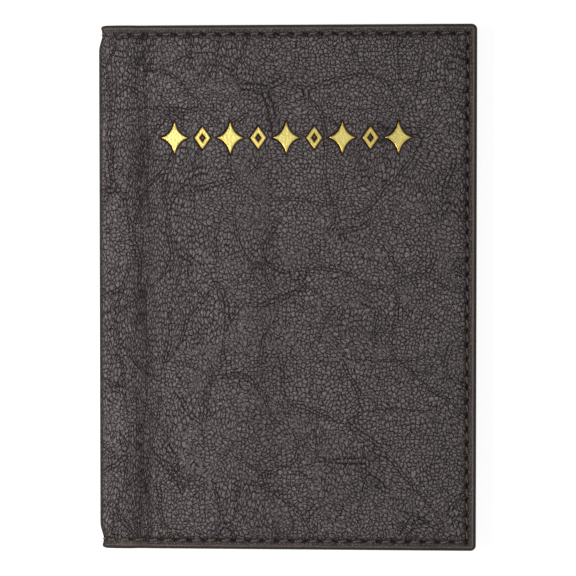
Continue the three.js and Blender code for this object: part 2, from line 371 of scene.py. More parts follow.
def wrinkles(u, v, side):
    """Fine sunken lines that wander over the leather, deeper in some places than in others.

    WRINKLES holds the distance between the lines and their depth, for each size of them.
    """
    seed = 31 if side == "front" else 91
    depth = np.zeros_like(u)
    for k, (size, deep) in enumerate(WRINKLES):
        drift_u = 3.0 * noise(u, v, 14, seed + 10 * k)
        drift_v = 3.0 * noise(u, v, 14, seed + 10 * k + 1)
        line = noise(u + drift_u, v + drift_v, size, seed + 10 * k + 2)
        shown = ramp(noise(u, v, 17, seed + 10 * k + 3), -0.2, 0.5)
        depth += deep * np.exp(-((line / 0.09) ** 2)) * shown
    return depth * off_spine(u) * ramp(edge_distance(u, v), SEAM_INSET, SEAM_INSET + 2)


def outer_face(u, v, side):
    """Depth, painted shade and smoothness of the leather's outer face."""
    distance = edge_distance(u, v)
    holes, dimples = slits(u, v)
    stamp = stamp_distance(u, v) if side == "front" else np.full(u.shape, FAR)
    in_stamp = 1 - ramp(stamp, 0.02, 0.3)
    depth = soft_sink(u, v, side) + wrinkles(u, v, side) * (1 - in_stamp)
    depth += SLIT_DEPTH * holes + DIMPLE_DEPTH * dimples + STAMP_DEPTH * in_stamp
    depth += rim_depth(distance, u) + 0.05 * (1 - ramp(distance, RIM_WIDTH - 0.3, RIM_WIDTH))
    # This darkness is painted shade: in the slits, along the seam's trough and the edge crease, as
    # a shadow round the stamps' walls, in the valley beside the spine, in a broad band down the
    # cover's middle for the shading of a shallow bend, and on the spine's side that turns from the
    # light.
    painted_shade = np.minimum(1.25 * holes, 1)
    along_seam = 0.75 * bell(distance, SEAM_INSET + 0.1, 0.9) * worn_in(u)
    in_crease = 0.3 * bell(distance, CREASE_INSET + 0.1, CREASE_WIDTH)
    round_stamp = 0.95 * bell(stamp, 0.2, 0.26)
    in_valley = 0.24 * bell(u, VALLEY_U, VALLEY_WIDTH + 0.2) * valley_share(v)
    mid_band = 0.2 * bell(u, -5.5, 4.5) * (1 - 0.6 * ramp(v, -10, 30))
    round_spine = 0.75 * (1 - ramp(u, FOLD_U - 2.3, FOLD_U - 1.3))
    for shade in (along_seam, in_crease, round_stamp, in_valley, mid_band, round_spine):
        painted_shade = np.maximum(painted_shade, shade)
    smooth = 0.85 * (1 - ramp(distance, 1.4, 2.7))
    smooth = np.maximum(smooth, 1 - ramp(stamp, 0.2, 0.6))
    return depth, np.clip(painted_shade, 0, 1), np.clip(smooth, 0, 1)


# ---- meshes
def make_piece(name, places, faces, material, attributes=None, close=False):
    """A smooth mesh from places in millimetres, with its attributes for the material."""
    mesh = bpy.data.meshes.new(name)
    mesh.from_pydata((np.asarray(places) * MM).tolist(), [], faces)
    for label, values in (attributes or {}).items():
        kind, field = ("FLOAT_VECTOR", "vector") if values.ndim == 2 else ("FLOAT", "value")
        layer = mesh.attributes.new(label, kind, "POINT")
        layer.data.foreach_set(field, values.astype(np.float32).ravel())
    if close:
        edit = bmesh.new()
        edit.from_mesh(mesh)
        bmesh.ops.recalc_face_normals(edit, faces=edit.faces)
        edit.to_mesh(mesh)
        edit.free()
    mesh.polygons.foreach_set("use_smooth", np.ones(len(mesh.polygons), bool))
    for face in mesh.polygons:
        if len(face.vertices) > 4:
            face.use_smooth = False
    mesh.materials.append(material)
    mesh.validate()
    piece = bpy.data.objects.new(name, mesh)
    bpy.context.scene.collection.objects.link(piece)
    return piece


def grid_faces(rows, columns, start=0, flip=False):
    """Faces of a grid of points stored row by row."""
    index = start + np.arange(rows * columns).reshape(rows, columns)
    faces = np.stack([index[:-1, :-1], index[1:, :-1], index[1:, 1:], index[:-1, 1:]], axis=-1)
    faces = faces.reshape(-1, 4)
    return (faces[:, ::-1] if flip else faces).tolist()


def ring_faces(rows, around, start=0):
    """Side faces between closed rings of points stored one after another."""
    index = start + np.arange(rows * around).reshape(rows, around)
    onward = np.roll(index, -1, axis=1)
    faces = np.stack([index[:-1], index[1:], onward[1:], onward[:-1]], axis=-1)
    return faces.reshape(-1, 4).tolist()


def tube_faces(rows, around, start=0):
    """Side faces between closed rings, and one face over each end."""
    last = start + (rows - 1) * around
    first_end = list(range(start, start + around))
    last_end = list(range(last + around - 1, last - 1, -1))
    return ring_faces(rows, around, start) + [first_end, last_end]


def lines(start, end, step, fine=0.0, fine_at_start=False, fine_at_end=False, fine_step=0.18):
    """Places from start to end, closer together over the fine stretches at its ends."""
    middle_start = start + (fine if fine_at_start else 0)
    middle_end = end - (fine if fine_at_end else 0)
    count = max(2, round((middle_end - middle_start) / step) + 1)
    places = [np.linspace(middle_start, middle_end, count)]
    fine_count = max(2, round(fine / fine_step) + 1)
    if fine_at_start:
        places.insert(0, np.linspace(start, middle_start, fine_count)[:-1])
    if fine_at_end:
        places.append(np.linspace(middle_end, end, fine_count)[1:])
    return np.concatenate(places)


GRID = 0.58
SEAM_BAND = 4.6


def outer_leather(side, material):
    """The half of the outer leather from the middle of the spine to the open edge."""
    us = lines(MIDDLE_U, HALF_WIDTH - LAYERS_INSET, GRID, SEAM_BAND, False, True)
    reach = HALF_HEIGHT - LAYERS_INSET
    vs = lines(-reach, reach, GRID, SEAM_BAND, True, True)
    u, v = (g.ravel() for g in np.meshgrid(us, vs, indexing="ij"))
    edit = bmesh.new()
    points = [edit.verts.new((a, b, 0)) for a, b in zip(u, v)]
    for a, b, c, d in grid_faces(len(us), len(vs)):
        edit.faces.new((points[a], points[b], points[c], points[d]))
    if side == "front":
        refine_stamps(edit)
    edit.verts.index_update()
    flat = np.array([p.co[:2] for p in edit.verts])
    faces = [[p.index for p in face.verts] for face in edit.faces]
    edit.free()

    u, v = flat.T
    depth, painted_shade, smooth = outer_face(u, v, side)
    total, columns, rows = len(u), len(us), len(vs)
    bottom = np.array([(us[i], s * reach) for i in range(columns) for s in (-1, 1)])
    end = np.array([(us[-1], b) for b in vs[1:-1]])
    extra = np.concatenate([bottom, end])
    low = [total + 2 * i for i in range(columns)]
    high = [total + 2 * i + 1 for i in range(columns)]
    right = [low[-1], *range(total + 2 * columns, total + len(extra)), high[-1]]
    top = np.arange(columns * rows).reshape(columns, rows).tolist()
    for i in range(columns - 1):
        if i < columns - 2:
            faces.append([low[i], high[i], high[i + 1], low[i + 1]])
        else:
            faces.append([low[i], high[i], *reversed(right)])
        faces.append([top[i][0], top[i + 1][0], low[i + 1], low[i]])
        faces.append([top[i + 1][-1], top[i][-1], high[i], high[i + 1]])
    for j in range(rows - 1):
        faces.append([top[-1][j], top[-1][j + 1], right[j + 1], right[j]])
    faces.append([*top[0], high[0], low[0]])

    u = np.concatenate([u, extra[:, 0]])
    v = np.concatenate([v, extra[:, 1]])
    depth = np.concatenate([depth, np.full(len(extra), LEATHER)])
    painted_shade, smooth = (np.concatenate([a, np.full(len(extra), 0.5)]) for a in (painted_shade, smooth))
    marks = {
        "sheet": sheet_places(u, v, side),
        "band": band_places(u, v),
        "painted_shade": painted_shade,
        "smooth": smooth,
    }
    places = wrap(u, v, depth, side)
    return make_piece(f"{side}_leather", places, faces, material, marks, close=True)


def refine_stamps(edit):
    """Cuts the grid finer round the row of foil motifs."""
    centres = np.array([centre for _, centre, _, _ in MOTIFS])
    reach = np.max([np.abs(outline).max(axis=0) for _, _, outline, _ in MOTIFS], axis=0) + 0.6
    low, high = centres.min(axis=0) - reach, centres.max(axis=0) + reach
    inside = [
        face
        for face in edit.faces
        if all(low[0] < p.co.x < high[0] and low[1] < p.co.y < high[1] for p in face.verts)
    ]
    edges = list(dict.fromkeys(edge for face in inside for edge in face.edges))
    bmesh.ops.subdivide_edges(edit, edges=edges, cuts=3, use_grid_fill=True)


DRAWN_IN = 2.2
DRAWN_REACH = 3.5


def sheet_places(u, v, side):
    """Where the grain is read. It is drawn together across the valley beside the spine."""
    def drawn(u):
        return u + DRAWN_IN * valley_share(v) * np.tanh((u - VALLEY_U) / DRAWN_REACH)

    across = drawn(u) if side == "front" else 2 * drawn(MIDDLE_U) - drawn(u)
    return np.stack([across, v, np.zeros(u.shape)], axis=-1)


EDGES_APART = 400


def band_places(u, v):
    """The distance from the edge, and the place along it, for marks that follow the edge."""
    by_open_edge = HALF_WIDTH - u < HALF_HEIGHT - np.abs(v)
    along = np.where(by_open_edge, v, u + EDGES_APART * np.sign(v))
    return np.stack([edge_distance(u, v), along, np.zeros(u.shape)], axis=-1)


def slab(name, us, vs, outer, inner, side, material, marks=None):
    """A layer between two depths, each a function of u and v; marks paints shade on it in places.
    """
    u, v = (g.ravel() for g in np.meshgrid(us, vs, indexing="ij"))
    columns, rows = len(us), len(vs)
    count = columns * rows
    places = np.concatenate([wrap(u, v, outer(u, v), side), wrap(u, v, inner(u, v), side)])
    faces = grid_faces(columns, rows) + grid_faces(columns, rows, count, flip=True)
    index = np.arange(count).reshape(columns, rows)
    rim = np.concatenate([index[:, 0], index[-1, 1:], index[-2::-1, -1], index[0, -2:0:-1]])
    for a, b in zip(rim.tolist(), np.roll(rim, -1).tolist()):
        faces.append([a, b, b + count, a + count])
    grain = sheet_places(u, v, side)
    both = {
        "sheet": np.concatenate([grain, grain]),
        "band": np.concatenate([band_places(u, v)] * 2),
        "painted_shade": np.tile(marks(u, v), 2) if marks else np.zeros(2 * count),
        "smooth": np.tile(0.8 * (1 - ramp(edge_distance(u, v), 1.4, 2.7)), 2),
    }
    return make_piece(name, places, faces, material, both, close=True)


# ---- threads, bands and foil
def tube(centres, radius, sides):
    """Points of one tube on the flat sheet, drawn in at both ends; centres holds u, v and depth."""
    centres = np.asarray(centres)
    along = np.gradient(centres, axis=0)
    along /= np.linalg.norm(along, axis=1)[:, None]
    across = np.cross(along, (0, 0, 1.0))
    across /= np.linalg.norm(across, axis=1)[:, None]
    up = np.cross(across, along)
    angle = np.linspace(0, 2 * math.pi, sides, endpoint=False)
    t = np.linspace(-1, 1, len(centres))
    size = radius * np.sqrt(np.clip(1 - t**8, 0, 1) + 0.02)
    c, s = np.cos(angle)[None, :, None], np.sin(angle)[None, :, None]
    ring = across[:, None] * c + up[:, None] * s
    return centres[:, None] + ring * size[:, None, None]


STITCH_STEPS = 11
STITCH_SIDES = 8


def stitch_mesh(name, side, holes, surface, radius, slant, dip, inward=1):
    """One stitch from each hole to the next, as one piece of short tubes that dip at both ends."""
    places, faces, twist = [], [], []
    for number, (start, end) in enumerate(zip(holes, holes[1:])):
        centres = stitch_path(start[:2], end[:2], surface, radius, slant, dip, inward)
        places.append(tube(centres, radius, STITCH_SIDES).reshape(-1, 3))
        first = number * STITCH_STEPS * STITCH_SIDES
        faces += tube_faces(STITCH_STEPS, STITCH_SIDES, first)
        along = np.repeat(np.linspace(0, 1, STITCH_STEPS), STITCH_SIDES)
        around = np.tile(np.arange(STITCH_SIDES) / STITCH_SIDES, STITCH_STEPS)
        twist.append(np.stack([along, around, np.full(along.shape, float(number))], axis=-1))
    flat = np.concatenate(places)
    twists = {"twist": np.concatenate(twist)}
    return make_piece(name, wrap(*flat.T, side), faces, THREAD, twists, close=True)


def stitch_path(start, end, surface, radius, slant, dip, inward=1):
    """The middle line of one stitch, from inside one slit to inside the next.

    inward is 1 on the outer face and -1 on the inner one, where a stitch sinks the other way.
    """
    (u0, v0), (u1, v1) = start, end
    direction = math.atan2(v1 - v0, u1 - u0)
    t = np.linspace(0, 1, STITCH_STEPS)
    reach = 0.36 * SLIT_LENGTH
    angle = direction - slant
    du, dv = reach * math.cos(angle), reach * math.sin(angle)
    u = (u0 + du) * (1 - t) + (u1 - du) * t
    v = (v0 + dv) * (1 - t) + (v1 - dv) * t
    lift = np.abs(2 * t - 1) ** 3
    return np.stack([u, v, surface(u, v) + inward * (radius * 0.15 + dip * lift)], axis=-1)


def hem_holes():
    """The holes of the row that holds down the pocket panel's turned edge."""
    count = round((HEM_HIGH - HEM_LOW) / STITCH_PITCH)
    return [(HEM_U, v) for v in np.linspace(HEM_LOW, HEM_HIGH, count + 1)]


def outline_path(step):
    """Points round the three open edges with the outward direction at each."""
    right, top = HALF_WIDTH - CORNER_RADIUS, HALF_HEIGHT - CORNER_RADIUS
    run = [(u, HALF_HEIGHT, 0.0, 1.0) for u in lines(MIDDLE_U, right, step)]
    for angle in np.linspace(math.pi / 2, 0, 9)[1:-1]:
        c, s = math.cos(angle), math.sin(angle)
        run.append((right + CORNER_RADIUS * c, top + CORNER_RADIUS * s, c, s))
    side = [(HALF_WIDTH, v, 1.0, 0.0) for v in lines(top, 0, step)]
    half = run + side
    mirrored = [(u, -v, a, -b) for u, v, a, b in half[-2::-1]]
    return np.array(half + mirrored)


def edge_band(side, material):
    """The coat of paint round the cut edges: a rounded band that laps onto both faces."""
    path = outline_path(0.6)
    steps = 12
    angle = np.linspace(0, math.pi, steps)
    seed = 7 if side == "front" else 8
    u, v, nu, nv = path.T
    ragged = 1 + 0.1 * noise(np.arange(len(u)) * 0.6, np.zeros(len(u)), 3.0, seed)
    top_u, top_v = round_corners(u - nu * RIM_WIDTH, v - nv * RIM_WIDTH, undo=True)
    top = soft_sink(top_u, top_v, side) - 0.03
    bottom = stack_depth(u) + 0.05
    places = []
    for a in angle:
        out = -RIM_WIDTH * ragged * (1 - math.sin(a))
        depth = top + (bottom - top) * (1 - math.cos(a)) / 2
        places.append((u + nu * out, v + nv * out, depth))
    inner = LAYERS_INSET + 0.05
    for share in (0.9, 0.2):
        places.append((u - nu * inner, v - nv * inner, top + (bottom - top) * share))
    ring = len(places)
    flat = np.array(places)
    fu, fv = round_corners(flat[:, 0], flat[:, 1], undo=True)
    wrapped = wrap(fu, fv, flat[:, 2], side)
    points = np.transpose(wrapped, (1, 0, 2)).reshape(-1, 3)
    faces = tube_faces(len(path), ring)
    grain = np.stack([fu, fv, flat[:, 2]], axis=-1)
    grain = np.transpose(grain, (1, 0, 2)).reshape(-1, 3)
    return make_piece(f"{side}_painted_edge", points, faces, material, {"sheet": grain}, close=True)


FOIL_RINGS = 9
FOIL_LIFT = 0.035
FOIL_THICKNESS = 0.06


def foil_piece(name, centre, outline, hole, material):
    """A motif of foil that lies on the bottom of its stamp."""
    shares = np.linspace(hole, 1, FOIL_RINGS)
    flat = np.concatenate([outline * share for share in shares]) + centre
    u, v = flat.T
    depth = outer_face(u, v, "front")[0] - FOIL_LIFT
    corner_count = len(outline)
    count = len(u)
    faces = ring_faces(FOIL_RINGS, corner_count)
    under = [[k + count for k in reversed(face)] for face in faces]
    rims = [FOIL_RINGS - 1] + ([0] if hole else [])
    sides = []
    for ring in rims:
        for j in range(corner_count):
            a = ring * corner_count + j
            b = ring * corner_count + (j + 1) % corner_count
            sides.append([a, a + count, b + count, b])
    places = np.concatenate(
        [wrap(u, v, depth, "front"), wrap(u, v, depth + FOIL_THICKNESS, "front")]
    )
    grain = sheet_places(u, v, "front")
    # rim: painted shade along the foil's edge, at the foot of the stamp's walls.
    rim = bell(stamp_distance(u, v), 0, 0.3)
    piece = make_piece(
        name + "_leaf",
        places,
        faces + under + sides,
        material,
        {"sheet": np.concatenate([grain, grain]), "rim": np.concatenate([rim, rim])},
    )
    edit = bmesh.new()
    edit.from_mesh(piece.data)
    bmesh.ops.remove_doubles(edit, verts=edit.verts, dist=1e-7)
    bmesh.ops.dissolve_degenerate(edit, dist=1e-8, edges=edit.edges)
    bmesh.ops.recalc_face_normals(edit, faces=edit.faces)
    edit.to_mesh(piece.data)
    edit.free()
    return piece


# ---- materials
class Look:
    """A material under construction: node() adds a node, wires its inputs and returns it."""

    def __init__(self, name):
        self.material = bpy.data.materials.new(name)
        self.material.use_nodes = True
        self.tree = self.material.node_tree
        self.shader = self.tree.nodes["Principled BSDF"]

    def node(self, kind, settings=None, **inputs):
        made = self.tree.nodes.new(kind)
        for key, value in (settings or {}).items():
            setattr(made, key, value)
        for key, value in inputs.items():
            self.wire(value, made.inputs[key.replace("_", " ")])
        return made

    def wire(self, value, socket):
        if isinstance(value, bpy.types.NodeSocket):
            self.tree.links.new(value, socket)
        else:
            socket.default_value = value

    def math(self, operation, a, b=0.0, c=0.0):
        made = self.node("ShaderNodeMath", {"operation": operation})
        for value, socket in zip((a, b, c), made.inputs):
            self.wire(value, socket)
        return made.outputs[0]

    def vector_math(self, operation, a, b):
        made = self.node("ShaderNodeVectorMath", {"operation": operation})
        self.wire(a, made.inputs[0])
        self.wire(b, made.inputs[1])
        return made.outputs[0]

    def spread(self, value, low, high, to_low=0.0, to_high=1.0):
        """value from low to high, mapped smoothly to to_low to to_high."""
        made = self.node("ShaderNodeMapRange", {"interpolation_type": "SMOOTHSTEP"})
        for number, socket in zip((value, low, high, to_low, to_high), made.inputs):
            self.wire(number, socket)
        return made.outputs[0]

    def attribute(self, name, output="Fac"):
        made = self.node("ShaderNodeAttribute", {"attribute_name": name})
        return made.outputs[output]

    def noise(self, vector, scale, detail=2.0, output="Fac"):
        made = self.node("ShaderNodeTexNoise", {"noise_dimensions": "2D"}, Vector=vector,
                         Scale=scale, Detail=detail)
        return made.outputs[output]

    def cells(self, vector, size, uneven=1.0):
        """The distance to the edge of irregular cells of that size, as a share of the size."""
        kind = {"feature": "DISTANCE_TO_EDGE", "voronoi_dimensions": "2D"}
        made = self.node("ShaderNodeTexVoronoi", kind, Vector=vector, Scale=1 / size,
                         Randomness=uneven)
        return made.outputs["Distance"]

    def pairs(self, vector, size, apart, width):
        """Pairs of lines, 1 at their middles, along both sides of the borders of large cells."""
        from_line = self.math("SUBTRACT", self.cells(vector, size), apart / size)
        return self.spread(self.math("ABSOLUTE", from_line), 0.0, width / size, 1.0, 0.0)

    def stretched(self, vector, degrees, along, across):
        """vector, so that a texture on it is stretched along that direction."""
        made = self.node("ShaderNodeMapping", {"vector_type": "TEXTURE"}, Vector=vector)
        made.inputs["Rotation"].default_value = (0, 0, math.radians(degrees))
        made.inputs["Scale"].default_value = (along, across, 1)
        return made.outputs[0]

    def shift(self, vector, scale, amount):
        """vector moved about by noise of that scale, by up to amount."""
        colour = self.noise(vector, scale, 1.0, "Color")
        centred = self.vector_math("SUBTRACT", colour, (0.5, 0.5, 0.5))
        sized = self.vector_math("MULTIPLY", centred, (2 * amount, 2 * amount, 0))
        return self.vector_math("ADD", vector, sized)

    def blend(self, factor, first, second):
        made = self.node("ShaderNodeMix", {"data_type": "RGBA"})
        self.wire(factor, made.inputs[0])
        self.wire(first, made.inputs[6])
        self.wire(second, made.inputs[7])
        return made.outputs[2]

    def bump(self, height, distance_mm):
        made = self.node("ShaderNodeBump", Height=height, Distance=distance_mm * MM, Strength=1.0)
        self.wire(made.outputs[0], self.shader.inputs["Normal"])

    def finish(self, **inputs):
        for key, value in inputs.items():
            self.wire(value, self.shader.inputs[key.replace("_", " ")])
        return self.material


PEBBLES_UNEVEN = 0.92
PAIR_APART = 0.3
PAIR_WIDTH = 0.22
GRAIN_LEVEL = 0.56
FINE_SHARE = 0.36
GAP_SHARE = 0.76
SPECKLE_SHARE = 0.26
# The near black colour that painted shade blends the leather to.
PAINTED_SHADE_COLOUR = (0.008, 0.004, 0.0025, 1)
# The colour of the painted highlight on the edge's lip.
PAINTED_HIGHLIGHT_COLOUR = (0.095, 0.08, 0.071, 1)


def pebble_gaps(look, place, wandering, leftward, cell):
    """0 on the pebbles and 1 between them. The pebbles are drawn long where the hide stretched."""
    even = look.cells(wandering, cell, PEBBLES_UNEVEN)
    upright = look.cells(look.stretched(wandering, 84, 1.5, 0.82), cell)
    slanted = look.cells(look.stretched(wandering, -28, 1.45, 0.85), cell, PEBBLES_UNEVEN)
    patches = look.noise(place, 0.055, 1.0)
    is_upright = look.spread(look.math("ADD", patches, leftward), 0.5, 0.6)
    is_slanted = look.spread(look.noise(look.shift(place, 0.03, 9.0), 0.05, 1.0), 0.5, 0.6)
    edge = look.math("MULTIPLY_ADD", is_slanted, look.math("SUBTRACT", slanted, even), even)
    edge = look.math("MULTIPLY_ADD", is_upright, look.math("SUBTRACT", upright, edge), edge)
    crack = look.spread(edge, 0.0, 0.15, 1.0, 0.0)
    slope = look.spread(edge, 0.0, 0.5, 1.0, 0.0)
    gap = look.math("MULTIPLY", look.math("ADD", crack, slope), 0.5)
    deep = look.spread(look.noise(wandering, 1.1, 2.0), 0.36, 0.62, 0.76, 1.0)
    return look.math("MULTIPLY", gap, deep)


def long_creases(look, place, wandering, across, leftward, cell):
    """1 in the long creases: pairs of lines, folds in the valley, and chains of deeper gaps."""
    curving = look.shift(look.shift(place, 0.03, 10.0), 0.18, 0.5)
    shown = look.noise(place, 0.05, 1.0)
    upright = look.pairs(look.stretched(curving, 82, 2.6, 1.0), 9.5, PAIR_APART, PAIR_WIDTH)
    slanted = look.pairs(look.stretched(curving, -35, 1.7, 1.0), 15.0, PAIR_APART, PAIR_WIDTH)
    from_valley = look.math("ABSOLUTE", look.math("SUBTRACT", across, VALLEY_U))
    folding = look.stretched(look.shift(place, 0.06, 2.6), 88, 9.0, 1.0)
    chained = look.stretched(look.shift(wandering, 0.5, 0.8), 75, 1.35, 1.0)
    chains = look.spread(look.cells(chained, 2.3 * cell), 0.0, 0.085, 1.0, 0.0)
    kinds = (
        (upright, look.spread(look.math("ADD", shown, leftward), 0.42, 0.58, 0.15, 1.0)),
        (slanted, look.spread(shown, 0.6, 0.44, 0.15, 1.0)),
        (look.pairs(folding, 3.4, 0.3, 0.3), look.spread(from_valley, 1.5, 5.5, 0.9, 0.0)),
        (chains, look.spread(look.noise(place, 0.16, 1.0), 0.35, 0.6, 0.3, 0.65)),
    )
    deepest = 0.0
    for line, share in kinds:
        deepest = look.math("MAXIMUM", look.math("MULTIPLY", line, share), deepest)
    return deepest


def leather_look(name, cell, crease, body, crown, edge_tones, relief, pressed, creases):
    """Grained leather, pressed smoother along its edges, with a painted highlight on the edge's
    lip.
    """
    look = Look(name)
    place = look.attribute("sheet", "Vector")
    band = look.attribute("band", "Vector")
    painted_shade = look.attribute("painted_shade")
    smooth = look.attribute("smooth")
    across = look.node("ShaderNodeSeparateXYZ", Vector=place).outputs[0]
    leftward = look.spread(across, -45, 5, 0.16, -0.06)
    wandering = look.shift(look.shift(look.shift(place, 0.07, 1.2), 0.3, 0.5), 1.3, 0.22)
    gap = pebble_gaps(look, place, wandering, leftward, cell)
    long_crease = long_creases(look, place, wandering, across, leftward, cell)
    fine = look.spread(look.cells(look.shift(wandering, 1.7, 0.25), 0.5 * cell), 0.0, 0.4)
    grain = look.math("MULTIPLY_ADD", fine, FINE_SHARE, GRAIN_LEVEL)
    grain = look.math("MULTIPLY_ADD", gap, -GAP_SHARE, grain)
    grain = look.math("MULTIPLY_ADD", long_crease, -creases, grain)
    grain = look.math("MULTIPLY_ADD", look.noise(place, 2.6, 1.0), SPECKLE_SHARE, grain)

    streaks = look.noise(look.stretched(band, 90, 6.0, 0.55), 1.0)
    height = look.math("MULTIPLY", grain, look.spread(smooth, 0.0, 1.0, 1.0, 1 - pressed))
    height = look.math("MULTIPLY_ADD", look.noise(place, 9.0), 0.06, height)
    height = look.math("MULTIPLY_ADD", look.math("MULTIPLY", streaks, smooth), 0.25, height)
    look.bump(height, relief)

    # The grain's gaps and creases get painted shade and the pebbles' crowns a painted highlight, on
    # top of the bump.
    tone = look.blend(look.spread(grain, 0.08, 0.54), crease, body)
    tone = look.blend(look.spread(grain, 0.45, 0.95), tone, crown)
    edge_tone = look.blend(look.spread(streaks, 0.3, 0.7), *edge_tones)
    edge_tone = look.blend(look.math("MULTIPLY", grain, 0.5), edge_tone, tone)
    tone = look.blend(smooth, tone, edge_tone)
    # A painted highlight on the lip just inside the painted rim, where the edge's shoulder turns to
    # the light, strongest along the open edge.
    inset = look.node("ShaderNodeSeparateXYZ", Vector=band).outputs[0]
    past_rim = look.spread(inset, 0.75, 0.85)
    on_lip = look.math("MULTIPLY", past_rim, look.spread(inset, 0.95, 1.35, 1.0, 0.0))
    lip_highlight_share = look.spread(across, 47.0, 50.0, 0.6, 1.0)
    tone = look.blend(look.math("MULTIPLY", on_lip, lip_highlight_share), tone, PAINTED_HIGHLIGHT_COLOUR)
    # Soft random patches darkened towards the crease colour: painted shade for the cover's gentle
    # undulation.
    patchy_shade = look.spread(look.noise(place, 0.05, 2.0), 0.35, 0.7, 0.0, 0.12)
    tone = look.blend(patchy_shade, tone, crease)
    # Blends the leather towards near black where the mesh carries painted shade.
    tone = look.blend(painted_shade, tone, PAINTED_SHADE_COLOUR)
    rough = look.math("MULTIPLY_ADD", grain, -0.16, 0.62)
    rough = look.math("MAXIMUM", rough, painted_shade)
    return look.finish(Base_Color=tone, Roughness=rough, Specular_IOR_Level=0.15)


def paint_look():
    """Edge paint: satin and a little lumpy."""
    look = Look("edge_paint")
    place = look.attribute("sheet", "Vector")
    lumps = look.noise(place, 0.7, 3.0)
    look.bump(look.math("MULTIPLY_ADD", look.noise(place, 5.0), 0.3, lumps), 0.08)
    tone = look.blend(lumps, (0.015, 0.011, 0.0095, 1), (0.034, 0.026, 0.022, 1))
    rough = look.spread(lumps, 0.3, 0.7, 0.55, 0.7)
    return look.finish(Base_Color=tone, Roughness=rough, Specular_IOR_Level=0.15)


PLIES = 2.0
PLY_TURNS = 5.0


def thread_look():
    """Waxed twisted thread: the plies run round each stitch."""
    look = Look("thread")
    place = look.attribute("twist", "Vector")
    split = look.node("ShaderNodeSeparateXYZ", Vector=place)
    round_ply = look.math("MULTIPLY", split.outputs[1], PLIES)
    turns = look.math("MULTIPLY_ADD", split.outputs[0], PLY_TURNS, round_ply)
    ply = look.math("ABSOLUTE", look.math("SINE", look.math("MULTIPLY", turns, math.pi)))
    look.bump(ply, 0.08)
    # The dark tone in the grooves between the plies is painted shade, and the light tone on their
    # tops a painted highlight.
    tone = look.blend(ply, (0.02, 0.012, 0.009, 1), (0.076, 0.053, 0.043, 1))
    worn = look.math("MULTIPLY", look.noise(place, 3.0), 0.4)
    varied = look.blend(worn, tone, (0.03, 0.02, 0.016, 1))
    return look.finish(Base_Color=varied, Roughness=0.5)


def foil_look():
    """Gold foil pressed onto leather: bright metal that keeps a trace of the grain."""
    look = Look("gold_foil")
    place = look.attribute("sheet", "Vector")
    edge = look.cells(look.shift(place, 0.8, 0.3), 0.95)
    pebble = look.spread(edge, 0.0, 0.3)
    crackle = look.noise(place, 6.0, 3.0)
    look.bump(look.math("MULTIPLY_ADD", crackle, 0.5, pebble), 0.02)
    worn = look.math("MULTIPLY", look.spread(crackle, 0.36, 0.3), 0.4)
    # The foil's rim is darkened too: painted shade at the foot of the stamp's walls.
    worn = look.math("MAXIMUM", worn, look.attribute("rim"))
    tone = look.blend(worn, (0.9, 0.77, 0.25, 1), (0.42, 0.26, 0.045, 1))
    rough = look.spread(crackle, 0.3, 0.7, 0.3, 0.42)
    return look.finish(Base_Color=tone, Metallic=1.0, Roughness=rough)


THREAD_SPACING = 0.9


def cloth_look(name, dark_tone, light_tone):
    """A plain weave of slubbed threads, for the lining and the spine's tape."""
    look = Look(name)
    place = look.attribute("sheet", "Vector")
    split = look.node("ShaderNodeSeparateXYZ", Vector=place)
    pitch = 2 * math.pi / THREAD_SPACING
    across = look.math("SINE", look.math("MULTIPLY", split.outputs[0], pitch))
    along = look.math("SINE", look.math("MULTIPLY", split.outputs[1], pitch))
    weave = look.math("MULTIPLY", across, along)
    raised = look.math("MULTIPLY_ADD", weave, 0.5, 0.5)
    fibres = look.noise(place, 7.0, 3.0)
    upright_slubs = look.noise(look.stretched(place, 90, 14.0, 0.5), 1.0)
    level_slubs = look.noise(look.stretched(place, 0, 9.0, 0.55), 1.0)
    slubs = look.spread(look.math("MAXIMUM", upright_slubs, level_slubs), 0.45, 0.75)
    height = look.math("MULTIPLY_ADD", fibres, 0.4, raised)
    look.bump(look.math("MULTIPLY_ADD", slubs, 0.8, height), 0.07)
    # The weave's low points get the dark tone: painted shade between the raised threads.
    tone = look.blend(raised, dark_tone, light_tone)
    tone = look.blend(look.math("MULTIPLY", slubs, 0.55), tone, light_tone)
    mixed = look.blend(look.math("MULTIPLY", fibres, 0.6), tone, dark_tone)
    return look.finish(Base_Color=mixed, Roughness=0.85, Specular_IOR_Level=0.1, Sheen_Weight=0.08)


def card_look():
    """The stiffening board: grey-brown fibre card."""
    look = Look("board")
    coordinates = look.node("ShaderNodeTexCoord")
    fibres = look.noise(coordinates.outputs["Object"], 900.0, 4.0)
    look.bump(fibres, 0.05)
    tone = look.blend(fibres, (0.26, 0.22, 0.18, 1), (0.4, 0.35, 0.3, 1))
    return look.finish(Base_Color=tone, Roughness=0.9)


# ---- building the holder
# crease and crown are the tones of the grain's painted shade and painted highlight.
LEATHER_LOOK = leather_look(
    "grained_leather",
    cell=1.06,
    crease=(0.01, 0.007, 0.007, 1),
    body=(0.064, 0.053, 0.053, 1),
    crown=(0.165, 0.142, 0.142, 1),
    edge_tones=((0.02, 0.0145, 0.012, 1), (0.06, 0.047, 0.04, 1)),
    relief=0.3,
    pressed=0.75,
    creases=0.38,
)
POCKET_LOOK = leather_look(
    "pocket_leather",
    cell=0.72,
    crease=(0.014, 0.009, 0.0075, 1),
    body=(0.043, 0.033, 0.029, 1),
    crown=(0.08, 0.065, 0.058, 1),
    edge_tones=((0.03, 0.022, 0.018, 1), (0.06, 0.048, 0.042, 1)),
    relief=0.14,
    pressed=0.6,
    creases=0.1,
)
PAINT = paint_look()
THREAD = thread_look()
FOIL = foil_look()
CLOTH = cloth_look("lining_cloth", (0.011, 0.008, 0.0065, 1), (0.062, 0.047, 0.039, 1))
